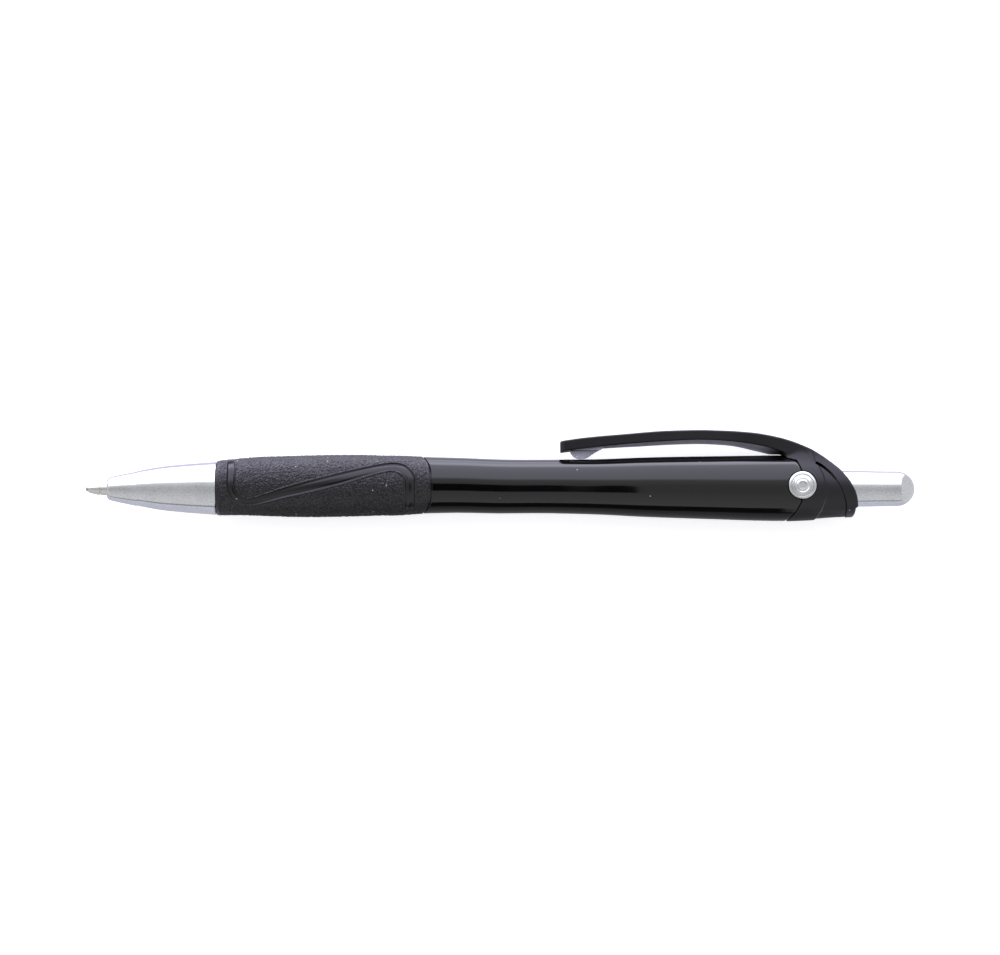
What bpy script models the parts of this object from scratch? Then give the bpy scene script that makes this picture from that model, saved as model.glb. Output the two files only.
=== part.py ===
"""Retractable ballpoint pen: chrome nose and button, rubber grip, black barrel, cap with a sprung clip.

The pen lies along X with its point at -X and its button at +X. +Y is the clip's side and +Z is up, so the pen
lies on its side. The origin is at the middle of its length, under the middle of its width, on the surface it
lies on. Radii are about the pen's axis, and lengths below are in millimetres.
"""

import math

import bmesh
import bpy

# ---------------------------------------------------------------- driving dimensions (mm)
LENGTH = 143.0  # point to button, with the point out
HALF = LENGTH / 2
CLIP_TOP = 10.16  # highest point of the clip above the axis
CAP_LOW = -5.50  # lowest point of the cap below the axis
BADGE_R = 5.80  # how far the badges stand out from the axis
AXIS_Y = -(CLIP_TOP + CAP_LOW) / 2
AXIS_Z = BADGE_R
TRAVEL = 4.5  # from writing to retracted
BALL_R = 0.49

# outer surfaces: (x, radius)
NOSE = ((-67.65, 1.80), (-65.5, 2.41), (-62.1, 3.09), (-58.65, 3.71), (-55.2, 4.09), (-51.75, 4.37), (-49.15, 4.55))
GRIP = ((-48.3, 4.735), (-44.85, 4.89), (-41.4, 5.08), (-34.5, 5.27), (-29.3, 5.32), (-24.15, 5.27), (-20.7, 5.17), (-17.25, 5.09), (-13.8, 4.93), (-12.0, 4.85))
BARREL = ((-11.7, 4.79), (-6.9, 4.69), (0.0, 4.60), (5.2, 4.55), (10.35, 4.60), (17.25, 4.75), (24.15, 5.06), (31.05, 5.27), (41.4, 5.50), (50.0, 5.66), (54.0, 5.68))
# how far the outside's centre lies towards the clip, along the pen: (x, offset)
BOW = ((-49.0, 0.10), (-44.85, 0.34), (-41.4, 0.42), (-34.5, 0.42), (-24.15, 0.57), (-12.0, 0.64), (-6.9, 0.60), (0.0, 0.39), (17.25, 0.34), (31.05, 0.23), (41.4, 0.14), (50.0, 0.12), (62.0, 0.12))
# the clip's and the cap's outline from the side: (x, height above the axis)
CLIP_UPPER = ((10.5, 8.25), (17.25, 9.09), (24.15, 9.68), (31.05, 10.08), (34.5, 10.16), (41.4, 9.88), (46.6, 9.21), (50.0, 8.31), (53.5, 6.88), (56.9, 4.66), (60.4, 1.28), (61.75, -2.3))
CLIP_LOWER = ((17.5, 6.99), (24.15, 7.42), (29.3, 7.73), (34.7, 7.85), (40.0, 7.33), (43.5, 6.75), (46.6, 6.08), (49.6, 6.05))

CORE_R = 3.95  # the barrel's core under the grip
GRIP_BORE = 4.25
SOCKET_R = 3.25  # the nose's thread runs in this
REFILL_BORE = 2.60
GUIDE_BORE = 3.80
CAP_BORE = 4.62
SEAM_X, SEAM_Y, SEAM_R = 44.6, 0.60, 7.62  # the cap's seam is an arc, seen from the side
GAP = 0.30
EDGE_SWEEP = 1.38  # the grip's rear edge runs back this far on the pen's flanks
CLIP_HALF = 1.25
CLIP_CUT = 49.7  # where the arm leaves the cap
BADGE_X, BADGE_Y, BADGE_RAD = 51.9, 0.65, 2.35

SIDES = 32
SMALL = 20

SCENE_NAME = "retractable_ballpoint_pen"


# ---------------------------------------------------------------- scene and helpers
for old in list(bpy.data.objects):
    bpy.data.objects.remove(old, do_unlink=True)

pen = bpy.data.collections.new(SCENE_NAME)
tools = bpy.data.collections.new("cutters")
for c in (pen, tools):
    bpy.context.scene.collection.children.link(c)

axis = bpy.data.objects.new("pen_axis", None)
axis.location = (0, AXIS_Y / 1000, AXIS_Z / 1000)
pen.objects.link(axis)


def material(name, colour, rough, metal=0.0, alpha=1.0):
    mat = bpy.data.materials.new(name)
    mat.use_nodes = True
    node = next(n for n in mat.node_tree.nodes if n.type == "BSDF_PRINCIPLED")
    node.inputs["Base Color"].default_value = (*colour, 1)
    node.inputs["Roughness"].default_value = rough
    node.inputs["Metallic"].default_value = metal
    node.inputs["Alpha"].default_value = alpha
    mat.diffuse_color = (*colour, 1)
    return mat


CHROME = material("chrome", (0.62, 0.63, 0.65), 0.08, 1.0)
GLOSS = material("gloss_black", (0.012, 0.012, 0.014), 0.12)
SATIN = material("satin_black", (0.022, 0.021, 0.024), 0.42)
RUBBER = material("black_rubber", (0.025, 0.024, 0.027), 0.55)
NICKEL = material("nickel_silver", (0.50, 0.47, 0.42), 0.22, 1.0)
STEEL = material("spring_steel", (0.45, 0.46, 0.48), 0.25, 1.0)
CARBIDE = material("ball", (0.35, 0.35, 0.37), 0.15, 1.0)
WHITE = material("white_plastic", (0.75, 0.75, 0.73), 0.40)
ACETAL = material("acetal", (0.20, 0.22, 0.27), 0.45)
TUBE = material("clear_tube", (0.70, 0.73, 0.76), 0.20, 0.0, 0.55)
INK = material("ink", (0.006, 0.008, 0.030), 0.25)
GREASE = material("grease", (0.62, 0.56, 0.38), 0.35)


def smooth_at(table, x):
    """A smooth curve through the table's points, read at x."""
    if x <= table[0][0]:
        return table[0][1]
    if x >= table[-1][0]:
        return table[-1][1]
    n = len(table)
    i = max(k for k in range(n - 1) if table[k][0] <= x)

    def slope(k):
        a, b = max(k - 1, 0), min(k + 1, n - 1)
        return (table[b][1] - table[a][1]) / (table[b][0] - table[a][0])

    (x0, y0), (x1, y1) = table[i], table[i + 1]
    w = x1 - x0
    t = (x - x0) / w
    return (
        (2 * t**3 - 3 * t**2 + 1) * y0
        + (t**3 - 2 * t**2 + t) * w * slope(i)
        + (3 * t**2 - 2 * t**3) * y1
        + (t**3 - t**2) * w * slope(i + 1)
    )


def samples(table, start, end, count):
    """Points of the table's curve from x = start to x = end."""
    return [(x, smooth_at(table, x)) for x in (start + (end - start) * k / count for k in range(count + 1))]


def ease(t):
    t = min(max(t, 0.0), 1.0)
    return t * t * (3 - 2 * t)


def finish(ob, mat, sharp=30):
    ob.parent = axis
    ob.data.materials.clear()
    ob.data.materials.append(mat)
    ob.data.shade_smooth()
    if sharp:
        ob.data.set_sharp_from_angle(angle=math.radians(sharp))
    return ob


def as_cutter(ob):
    ob.parent = axis
    ob.hide_render = True
    ob.display_type = "WIRE"
    return ob


def turned(name, profile, where, closed=True, sides=SIDES):
    """A turned piece: the profile's (x, radius) points run down the outside from the rear, and then back along the bore, or start and end on the axis."""
    mesh = bpy.data.meshes.new(name)
    n = len(profile)
    edges = [(i, (i + 1) % n) for i in range(n if closed else n - 1)]
    mesh.from_pydata([(r / 1000, 0, x / 1000) for x, r in profile], edges, [])
    ob = bpy.data.objects.new(name, mesh)
    where.objects.link(ob)
    ob.rotation_euler = (0, math.pi / 2, 0)
    screw = ob.modifiers.new("turn", "SCREW")
    screw.axis = "Z"
    screw.steps = screw.render_steps = sides
    screw.use_merge_vertices = True
    screw.merge_threshold = 0.000002
    screw.use_smooth_shade = True
    return ob


def baked(ob, change=None):
    """The object as a mesh in the axis's frame, with its modifiers applied and each vertex passed through change."""
    graph = bpy.context.evaluated_depsgraph_get()
    graph.update()
    mesh = bpy.data.meshes.new_from_object(ob.evaluated_get(graph))
    bm = bmesh.new()
    bm.from_mesh(mesh)
    bmesh.ops.remove_doubles(bm, verts=bm.verts, dist=0.000002)
    bm.transform(ob.rotation_euler.to_matrix().to_4x4())
    if change:
        for v in bm.verts:
            x, y, z = (c * 1000 for c in v.co)
            v.co = [c / 1000 for c in change(x, y, z)]
    bm.to_mesh(mesh)
    bm.free()
    name, where = ob.name, ob.users_collection[0]
    bpy.data.objects.remove(ob, do_unlink=True)
    new = bpy.data.objects.new(name, mesh)
    where.objects.link(new)
    return new


def plate(name, outline, half, where):
    """A flat outline in the side view, given half its thickness to each side of the middle plane."""
    curve = bpy.data.curves.new(name, "CURVE")
    curve.dimensions = "2D"
    curve.fill_mode = "BOTH"
    curve.extrude = half / 1000
    line = curve.splines.new("POLY")
    line.points.add(len(outline) - 1)
    for point, (x, y) in zip(line.points, outline):
        point.co = (x / 1000, y / 1000, 0, 1)
    line.use_cyclic_u = True
    ob = bpy.data.objects.new(name, curve)
    where.objects.link(ob)
    return baked(ob)


def boolean(ob, cutter, operation):
    mod = ob.modifiers.new(cutter.name, "BOOLEAN")
    mod.operation = operation
    mod.object = cutter
    mod.solver = "EXACT"
    return mod


def arc(cx, cy, radius, start, end, count):
    angles = (math.radians(start + (end - start) * k / count) for k in range(count + 1))
    return [(cx + radius * math.cos(a), cy + radius * math.sin(a)) for a in angles]


def outer_shift(x, y, z, solid_above):
    """Moves the outside towards the clip by the bow, and leaves what is nearer the axis than solid_above."""
    if math.hypot(y, z) < solid_above:
        return y
    return y + smooth_at(BOW, x)


def flank_sweep(x, y, z, front, rear):
    """How far the grip's rear edge runs back here: nothing facing the two flat sides, most above and below."""
    if x < front or x > rear:
        return 0.0
    r = math.hypot(y, z) or 1.0
    near = ease((x - front) / (-12.6 - front)) if x < -12.6 else ease((rear - x) / (rear + 11.4))
    return -EDGE_SWEEP * (y / r) ** 4 * near


# ---------------------------------------------------------------- nose cone
nose_outer = samples(NOSE, -49.15, -67.65, 12)
thread = []
for k in range(5):  # thread ridges, as rings
    top = -42.2 - 1.3 * k
    thread += [(top, 2.80), (top - 0.25, 2.98), (top - 0.55, 2.98), (top - 0.80, 2.80)]
nose = turned(
    "nose_cone",
    [(-41.2, 2.80)] + thread + [(-48.9, 2.80), (-49.0, 4.30)] + nose_outer + [(-67.75, 1.62), (-67.75, 1.32), (-63.0, 1.32), (-63.0, 2.45), (-41.2, 2.45)],
    pen,
)
finish(nose, CHROME)

# ---------------------------------------------------------------- grip sleeve
grip = turned(
    "grip_sleeve",
    [(-12.0, GRIP_BORE)] + samples(GRIP, -12.0, -48.3, 16) + [(-48.65, 4.62), (-48.75, GRIP_BORE), (-16.0, GRIP_BORE)],
    pen,
)
grip = baked(grip, lambda x, y, z: (x + flank_sweep(x, y, z, -16.5, -11.0), y + smooth_at(BOW, x), z))
finish(grip, RUBBER)

# ---------------------------------------------------------------- barrel
barrel = turned(
    "barrel",
    samples(BARREL, 54.0, -11.7, 22)
    + [(-11.7, CORE_R), (-24.0, CORE_R), (-36.0, CORE_R), (-48.6, CORE_R), (-48.6, SOCKET_R), (-40.6, SOCKET_R), (-40.6, REFILL_BORE), (33.0, REFILL_BORE), (33.0, GUIDE_BORE), (41.0, GUIDE_BORE), (41.0, CAP_BORE), (54.0, CAP_BORE)],
    pen,
)


def bend_barrel(x, y, z):
    inner = CORE_R - 0.1 if x < 20 else CAP_BORE + 0.1
    if math.hypot(y, z) < inner:
        return x, y, z
    dx = flank_sweep(x, y, z, -16.5, -7.0)
    return x + dx, outer_shift(x, y, z, inner), z


barrel = baked(barrel, bend_barrel)
behind_seam = plate(
    "cut_behind_seam",
    arc(SEAM_X, SEAM_Y, SEAM_R, 90, -90, 28) + [(SEAM_X, -12), (70, -12), (70, 12), (SEAM_X, 12)],
    9,
    tools,
)
boolean(barrel, as_cutter(behind_seam), "DIFFERENCE")
finish(barrel, GLOSS)

# ---------------------------------------------------------------- badge recesses, shared by the barrel and the cap
badge_seat = baked(turned("badge_seat", [(60, 0), (60, 4.95), (44, 4.95), (44, 0)], tools, closed=False))
as_cutter(badge_seat)


def cylinder(name, radius, low, high, x, y, where, sides=SIDES):
    mesh = bpy.data.meshes.new(name)
    bm = bmesh.new()
    bmesh.ops.create_cone(bm, cap_ends=True, segments=sides, radius1=radius / 1000, radius2=radius / 1000, depth=(high - low) / 1000)
    bmesh.ops.translate(bm, verts=bm.verts, vec=(x / 1000, y / 1000, (low + high) / 2000))
    bm.to_mesh(mesh)
    bm.free()
    ob = bpy.data.objects.new(name, mesh)
    where.objects.link(ob)
    return ob


for side, name in ((1, "front"), (-1, "back")):
    low, high = sorted((3.6 * side, 8.0 * side))
    recess = as_cutter(cylinder("recess_" + name, BADGE_RAD + 0.30, low, high, BADGE_X, BADGE_Y, tools))
    boolean(recess, badge_seat, "DIFFERENCE")
    boolean(barrel, recess, "DIFFERENCE")

# ---------------------------------------------------------------- cap
CAP = ((44.0, 5.60), (51.0, 5.61), (54.2, 5.58), (55.3, 5.17), (58.0, 5.02), (62.2, 4.95))
cap = turned(
    "clip_cap",
    [(62.2, 0)] + [(x, smooth_at(CAP, x)) for x in (62.2, 60, 57.5, 55.6, 55.2, 54.6, 54.0, 52, 50, 48, 46, 44.0)] + [(44.0, 0)],
    pen,
    closed=False,
)
cap = baked(cap, lambda x, y, z: (x, y + 0.12, z))
inside_seam = as_cutter(
    plate(
        "cut_inside_seam",
        arc(SEAM_X, SEAM_Y, SEAM_R + GAP, -90, 90, 28) + [(40, SEAM_Y + SEAM_R + GAP), (40, SEAM_Y - SEAM_R - GAP)],
        9,
        tools,
    )
)
root_block = as_cutter(
    plate(
        "clip_root",
        samples(CLIP_UPPER, CLIP_CUT + GAP / 2, 57.0, 8) + [(57.0, 2.0), (CLIP_CUT + GAP / 2, 2.0)],
        CLIP_HALF,
        tools,
    )
)
spigot = as_cutter(baked(turned("cap_spigot", [(54, 0), (54, 4.30), (42.0, 4.30), (41.4, 4.05), (41.4, 0)], tools, closed=False)))
envelope = as_cutter(
    plate(
        "cap_outline",
        samples(CLIP_UPPER, CLIP_CUT + GAP / 2, 61.75, 18) + [(61.75, -3.0), (61.35, -3.4), (61.2, -4.3), (60.9, -4.9), (58.0, -7.0), (38.0, -7.0), (38.0, 7.0), (CLIP_CUT + GAP / 2, 7.2)],
        9,
        tools,
    )
)
cap_bore = as_cutter(baked(turned("cap_bore", [(64, 0), (64, 3.30), (57.5, 3.30), (57.5, 3.75), (40, 3.75), (40, 0)], tools, closed=False)))
boolean(cap, root_block, "UNION")
boolean(cap, inside_seam, "DIFFERENCE")
boolean(cap, spigot, "UNION")
boolean(cap, envelope, "INTERSECT")
boolean(cap, cap_bore, "DIFFERENCE")
for name in ("front", "back"):
    boolean(cap, bpy.data.objects["recess_" + name], "DIFFERENCE")
finish(cap, SATIN)

# ---------------------------------------------------------------- clip arm with its nub
nub = [(12.0, 6.35), (13.2, 5.50), (13.6, 5.36), (14.5, 5.36), (15.5, 5.80), (16.7, 6.55)]
clip = plate(
    "clip_arm",
    [(x, y) for x, y in samples(CLIP_UPPER, CLIP_CUT - GAP / 2, 10.9, 18)] + [(10.4, 7.85), (10.35, 6.25)] + nub + samples(CLIP_LOWER, 17.5, CLIP_CUT - GAP / 2, 12),
    CLIP_HALF,
    pen,
)
finish(clip, SATIN)

# ---------------------------------------------------------------- badges
for side, name in ((1, "front"), (-1, "back")):
    low, high = sorted((3.0 * side, 8.0 * side))
    badge = cylinder("medallion_" + name, BADGE_RAD, low, high, BADGE_X, BADGE_Y, pen, 28)
    shell = as_cutter(baked(turned("badge_shell_" + name, [(56, BADGE_R), (48, BADGE_R), (48, 5.25), (56, 5.25)], tools, sides=48)))
    boolean(badge, shell, "INTERSECT")
    finish(badge, CHROME)

# ---------------------------------------------------------------- push button
dome = [(68.4 + 3.1 * math.sin(a), 3.0 * math.cos(a)) for a in (math.radians(90 - 15 * k) for k in range(6))]
button = turned(
    "push_button",
    [(HALF, 0)] + dome[1:] + [(68.4, 3.0), (60.0, 3.10), (52.6, 3.10), (52.6, 3.50), (51.5, 3.50), (51.5, 2.45), (64.6, 2.45), (64.6, 0)],
    pen,
    closed=False,
    sides=28,
)
finish(button, CHROME)


# ---------------------------------------------------------------- clicking mechanism
def spline_cross(low, high, reach, width, x0, x1, name, where):
    """Four ribs round the axis, as two crossed bars between x0 and x1."""
    mesh = bpy.data.meshes.new(name)
    bm = bmesh.new()
    bmesh.ops.create_cube(bm, size=1.0)
    bmesh.ops.scale(bm, verts=bm.verts, vec=((x1 - x0) / 1000, 2 * reach / 1000, width / 1000))
    bmesh.ops.translate(bm, verts=bm.verts, vec=((x0 + x1) / 2000, 0, 0))
    bm.to_mesh(mesh)
    bm.free()
    one = bpy.data.objects.new(name, mesh)
    where.objects.link(one)
    as_cutter(one)
    other = bpy.data.objects.new(name + "_b", mesh.copy())
    where.objects.link(other)
    as_cutter(other)
    other.rotation_euler = (math.pi / 2, 0, 0)
    return one, other


guide = turned("guide_sleeve", [(49.8, 3.45), (38.0, 3.45), (38.0, 2.50), (49.8, 2.50)], pen, sides=SIDES)
guide = baked(guide)
for bar in spline_cross(0, 0, 3.12, 1.30, 37.0, 51.0, "guide_groove", tools):
    boolean(guide, bar, "DIFFERENCE")
# the sawtooth rim that turns the rotor: a wedge-shaped bite between each pair of grooves
for k in range(4):
    tooth = plate("rim_bite_%d" % k, [(37.0, 0.75), (37.0, 1.9), (38.0, 1.9), (39.1, 0.9)], 2.0, tools)
    for v in tooth.data.vertices:
        v.co.z += 0.0030
    as_cutter(tooth)
    tooth.rotation_euler = (k * math.pi / 2, 0, 0)
    boolean(guide, tooth, "DIFFERENCE")
finish(guide, WHITE)

rotor = baked(
    turned("cam_rotor", [(39.6, 0), (39.9, 1.30), (39.4, 2.10), (34.8, 2.10), (34.8, 0.78), (33.6, 0.78), (33.4, 0.6), (33.4, 0)], pen, closed=False, sides=SMALL)
)
for bar in spline_cross(0, 0, 2.85, 0.90, 35.6, 37.6, "rotor_rib", tools):
    boolean(rotor, bar, "UNION")
finish(rotor, ACETAL)

thrust = baked(turned("thrust_sleeve", [(64.0, 0), (64.0, 2.10), (40.8, 2.10), (40.3, 1.5), (40.3, 1.1), (41.2, 0)], pen, closed=False, sides=SMALL))
for bar in spline_cross(0, 0, 2.85, 0.90, 44.0, 48.0, "thrust_rib", tools):
    boolean(thrust, bar, "UNION")
finish(thrust, WHITE)

# ---------------------------------------------------------------- return spring
COILS, COIL_R, WIRE = 8.0, 1.95, 0.20
front, rear = -62.5, -53.2


def coil_point(t):
    """The coil's end turns are closed up, and the pitch is even between them."""
    turn = COILS * t
    closed_up = 1.2
    lead = 0.42
    if turn < closed_up:
        x = front + lead * turn / closed_up
    elif turn > COILS - closed_up:
        x = rear - lead * (COILS - turn) / closed_up
    else:
        x = front + lead + (rear - front - 2 * lead) * (turn - closed_up) / (COILS - 2 * closed_up)
    a = 2 * math.pi * turn
    return x / 1000, COIL_R * math.cos(a) / 1000, COIL_R * math.sin(a) / 1000


wire = bpy.data.curves.new("return_spring", "CURVE")
wire.dimensions = "3D"
wire.bevel_depth = WIRE / 1000
wire.bevel_resolution = 1
wire.use_fill_caps = True
line = wire.splines.new("POLY")
STEPS = int(COILS * 14)
line.points.add(STEPS)
for k, point in enumerate(line.points):
    point.co = (*coil_point(k / STEPS), 1)
spring = bpy.data.objects.new("return_spring", wire)
pen.objects.link(spring)
spring = baked(spring)
finish(spring, STEEL)

# ---------------------------------------------------------------- refill
holder = turned(
    "tip_holder",
    [(-50.6, 0.45), (-50.6, 0.85), (-52.3, 0.85), (-52.3, 2.10), (-52.9, 2.10), (-52.9, 1.50), (-61.0, 1.50), (-61.6, 1.30), (-61.6, 1.05), (-58.8, 1.05), (-58.8, 0.45)],
    pen,
    sides=SMALL,
)
finish(holder, WHITE)

point = turned(
    "tip_point",
    [(-59.1, 0.30), (-59.1, 0.85), (-61.9, 0.85), (-61.9, 1.15), (-67.6, 1.15), (-68.7, 1.15), (-68.8, 1.00), (-69.0, 1.00), (-69.1, 1.12), (-70.55, 0.78), (-70.95, 0.66), (-70.95, 0.57), (-70.35, 0.57), (-70.15, 0.30)],
    pen,
    sides=SMALL,
)
finish(point, NICKEL)

ball_mesh = bpy.data.meshes.new("writing_ball")
bm = bmesh.new()
bmesh.ops.create_uvsphere(bm, u_segments=14, v_segments=9, radius=BALL_R / 1000)
bm.to_mesh(ball_mesh)
bm.free()
ball = bpy.data.objects.new("writing_ball", ball_mesh)
pen.objects.link(ball)
ball.rotation_euler = (0, math.pi / 2, 0)
ball.location = ((-HALF + BALL_R) / 1000, 0, 0)
finish(ball, CARBIDE, sharp=0)

tube = turned("ink_tube", [(34.5, 1.55), (-52.0, 1.55), (-52.0, 1.08), (34.5, 1.08)], pen, sides=SMALL)
finish(tube, TUBE)
ink = turned("ink_column", [(10.0, 0), (10.0, 0.86), (-50.2, 0.86), (-50.2, 0)], pen, closed=False, sides=SMALL)
finish(ink, INK)
follower = turned("ink_follower", [(14.0, 0), (14.3, 0.86), (10.3, 0.86), (10.3, 0)], pen, closed=False, sides=SMALL)
finish(follower, GREASE)
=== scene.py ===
import math

import bpy
import numpy as np
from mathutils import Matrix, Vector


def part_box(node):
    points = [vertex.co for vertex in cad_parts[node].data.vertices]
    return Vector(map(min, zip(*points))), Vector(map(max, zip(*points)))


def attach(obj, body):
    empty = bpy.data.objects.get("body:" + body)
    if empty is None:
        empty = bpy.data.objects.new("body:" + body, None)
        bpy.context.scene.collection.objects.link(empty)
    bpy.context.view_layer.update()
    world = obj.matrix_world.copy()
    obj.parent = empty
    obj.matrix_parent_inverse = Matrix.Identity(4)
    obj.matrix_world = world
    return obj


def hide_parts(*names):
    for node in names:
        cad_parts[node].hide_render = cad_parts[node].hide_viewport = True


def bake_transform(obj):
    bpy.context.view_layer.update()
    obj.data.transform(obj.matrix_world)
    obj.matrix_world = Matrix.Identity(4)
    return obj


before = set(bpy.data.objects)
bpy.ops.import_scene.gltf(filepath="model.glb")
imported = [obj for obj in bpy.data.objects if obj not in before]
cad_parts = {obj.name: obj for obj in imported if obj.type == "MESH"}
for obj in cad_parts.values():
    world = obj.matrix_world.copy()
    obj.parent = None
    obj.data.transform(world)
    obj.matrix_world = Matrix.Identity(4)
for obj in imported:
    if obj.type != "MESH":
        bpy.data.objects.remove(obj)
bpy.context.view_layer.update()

_lo, _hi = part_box("ink_tube")
AY = (_lo[1] + _hi[1]) / 2 * 1000  # the pen's axis, in millimetres
AZ = (_lo[2] + _hi[2]) / 2 * 1000
MM = 0.001
scene = bpy.context.scene

# ------------------------------------------------------------------ design tables (mm, about the pen's axis)
NOSE = ((-67.65, 1.80), (-67.2, 2.00), (-65.5, 2.41), (-62.1, 3.09), (-58.65, 3.71), (-55.2, 4.09), (-51.75, 4.37), (-49.15, 4.55))
GRIP = ((-48.3, 4.745), (-44.85, 4.91), (-41.4, 5.09), (-34.5, 5.30), (-29.3, 5.36), (-24.15, 5.30), (-20.7, 5.21), (-17.25, 5.15), (-13.8, 5.03), (-12.0, 4.95))
BARREL = ((-13.2, 4.91), (-11.7, 4.89), (-6.9, 4.755), (0.0, 4.675), (5.2, 4.63), (10.35, 4.66), (17.25, 4.79), (24.15, 5.10), (31.05, 5.31), (41.4, 5.53), (50.0, 5.66), (54.0, 5.68))
BOW = ((-49.0, 0.10), (-44.85, 0.34), (-41.4, 0.42), (-34.5, 0.42), (-24.15, 0.56), (-18.0, 0.555), (-12.0, 0.62), (-6.9, 0.60), (0.0, 0.41), (8.5, 0.40), (17.25, 0.32), (31.05, 0.23), (41.4, 0.14), (50.0, 0.12), (62.0, 0.12))
ARCH = ((10.35, 8.22), (13.8, 8.73), (17.25, 9.09), (20.7, 9.38), (24.15, 9.68), (27.6, 9.95), (31.05, 10.08), (34.5, 10.15), (37.95, 10.06), (41.4, 9.88), (44.85, 9.52), (48.3, 8.81), (50.0, 8.31), (51.75, 7.66), (53.5, 6.88), (55.2, 5.88), (56.9, 4.66), (58.57, 3.26), (60.18, 1.28), (60.99, -0.21), (61.50, -2.24))
SIDE_LOW = ((10.35, 6.16), (10.95, 6.60), (12.6, 6.93), (15.5, 7.24), (18.5, 7.62), (24.15, 8.14), (29.3, 8.46), (34.7, 8.67), (40.0, 8.38), (45.2, 7.59), (48.0, 6.75), (49.7, 6.06), (51.0, 5.0))
UNDER = ((10.35, 6.16), (12.04, 6.35), (17.5, 6.90), (24.15, 7.28), (29.3, 7.57), (34.7, 7.69), (40.0, 7.36), (43.5, 6.62), (47.3, 5.70), (50.0, 5.0))
SEAM_X, SEAM_Y, SEAM_R = 44.45, 0.60, 7.72
BADGE_X, BADGE_Y, BADGE_RAD = 51.9, 0.65, 2.35
EDGE_SWEEP = 1.38


def smooth_at(table, x):
    """A smooth curve through the table's points, read at every x."""
    t = np.array(table, float)
    x = np.asarray(x, float)
    xs, ys = t[:, 0], t[:, 1]
    m = np.empty(len(t))
    m[1:-1] = (ys[2:] - ys[:-2]) / (xs[2:] - xs[:-2])
    m[0] = (ys[1] - ys[0]) / (xs[1] - xs[0])
    m[-1] = (ys[-1] - ys[-2]) / (xs[-1] - xs[-2])
    xc = np.clip(x, xs[0], xs[-1])
    i = np.clip(np.searchsorted(xs, xc, side="right") - 1, 0, len(t) - 2)
    w = xs[i + 1] - xs[i]
    u = (xc - xs[i]) / w
    return (2 * u**3 - 3 * u**2 + 1) * ys[i] + (u**3 - 2 * u**2 + u) * w * m[i] + (3 * u**2 - 2 * u**3) * ys[i + 1] + (u**3 - u**2) * w * m[i + 1]


def ease(t):
    t = np.clip(t, 0.0, 1.0)
    return t * t * (3 - 2 * t)


# ------------------------------------------------------------------ meshes
def piece(name, V, F, mat, body, nodes=(), sharp=None, mask=None, normals=None):
    """A mesh from axis-frame millimetres. It rides on a body and stands for the named CAD nodes."""
    V = np.asarray(V, float)
    tris = []
    if isinstance(F, np.ndarray):
        F = [F]
    faces = []
    for part in F:
        part = np.asarray(part)
        faces += part.tolist()
        tris.append(part[:, :3])
        if part.shape[1] == 4:
            tris.append(part[:, [0, 2, 3]])
    T = np.concatenate(tris)
    vol = np.einsum("ij,ij->i", V[T[:, 0]], np.cross(V[T[:, 1]], V[T[:, 2]])).sum()
    if vol < 0:
        faces = [f[::-1] for f in faces]
    mesh = bpy.data.meshes.new(name)
    mesh.from_pydata(((V + [0, AY, AZ]) * MM).tolist(), [], faces)
    mesh.update()
    if mask is not None:
        attr = mesh.attributes.new("plainness", "FLOAT", "POINT")
        attr.data.foreach_set("value", np.asarray(mask, np.float32))
    mesh.shade_smooth()
    if sharp:
        mesh.set_sharp_from_angle(angle=math.radians(sharp))
    if normals is not None:
        mesh.normals_split_custom_set_from_vertices(normals.tolist())
    ob = bpy.data.objects.new(name, mesh)
    scene.collection.objects.link(ob)
    mesh.materials.append(mat)
    if body:
        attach(ob, body)
    if nodes:
        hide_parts(*nodes)
    return ob


def fillets(points, steps=5):
    """A profile of (x, r, fillet) corners, with each corner rounded by an arc. Corners with no fillet stay sharp."""
    out = []
    n = len(points)
    for i, p in enumerate(points):
        x, r = p[0], p[1]
        f = p[2] if len(p) > 2 else 0
        if not f or i in (0, n - 1):
            out.append((x, r))
            continue
        a, b = np.array(points[i - 1][:2], float), np.array(points[i + 1][:2], float)
        c = np.array([x, r], float)
        u, v = a - c, b - c
        lu, lv = np.linalg.norm(u), np.linalg.norm(v)
        u, v = u / lu, v / lv
        cut = min(f, lu * 0.49, lv * 0.49)
        for k in range(steps + 1):
            t = k / steps
            out.append(tuple(c + u * cut * (1 - t) ** 2 + v * cut * t**2))
    return out


def dense(points, step):
    """The same profile with long runs cut into steps."""
    out = [points[0]]
    for a, b in zip(points[:-1], points[1:]):
        n = max(1, int(math.ceil(math.dist(a, b) / step)))
        out += [(a[0] + (b[0] - a[0]) * k / n, a[1] + (b[1] - a[1]) * k / n) for k in range(1, n + 1)]
    return out


def grid_faces(n, m, wrap_rows):
    rows = n if wrap_rows else n - 1
    i, j = np.meshgrid(np.arange(rows), np.arange(m), indexing="ij")
    i2, j2 = (i + 1) % n, (j + 1) % m
    return np.stack([i * m + j, i * m + j2, i2 * m + j2, i2 * m + j], -1).reshape(-1, 4)


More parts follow.
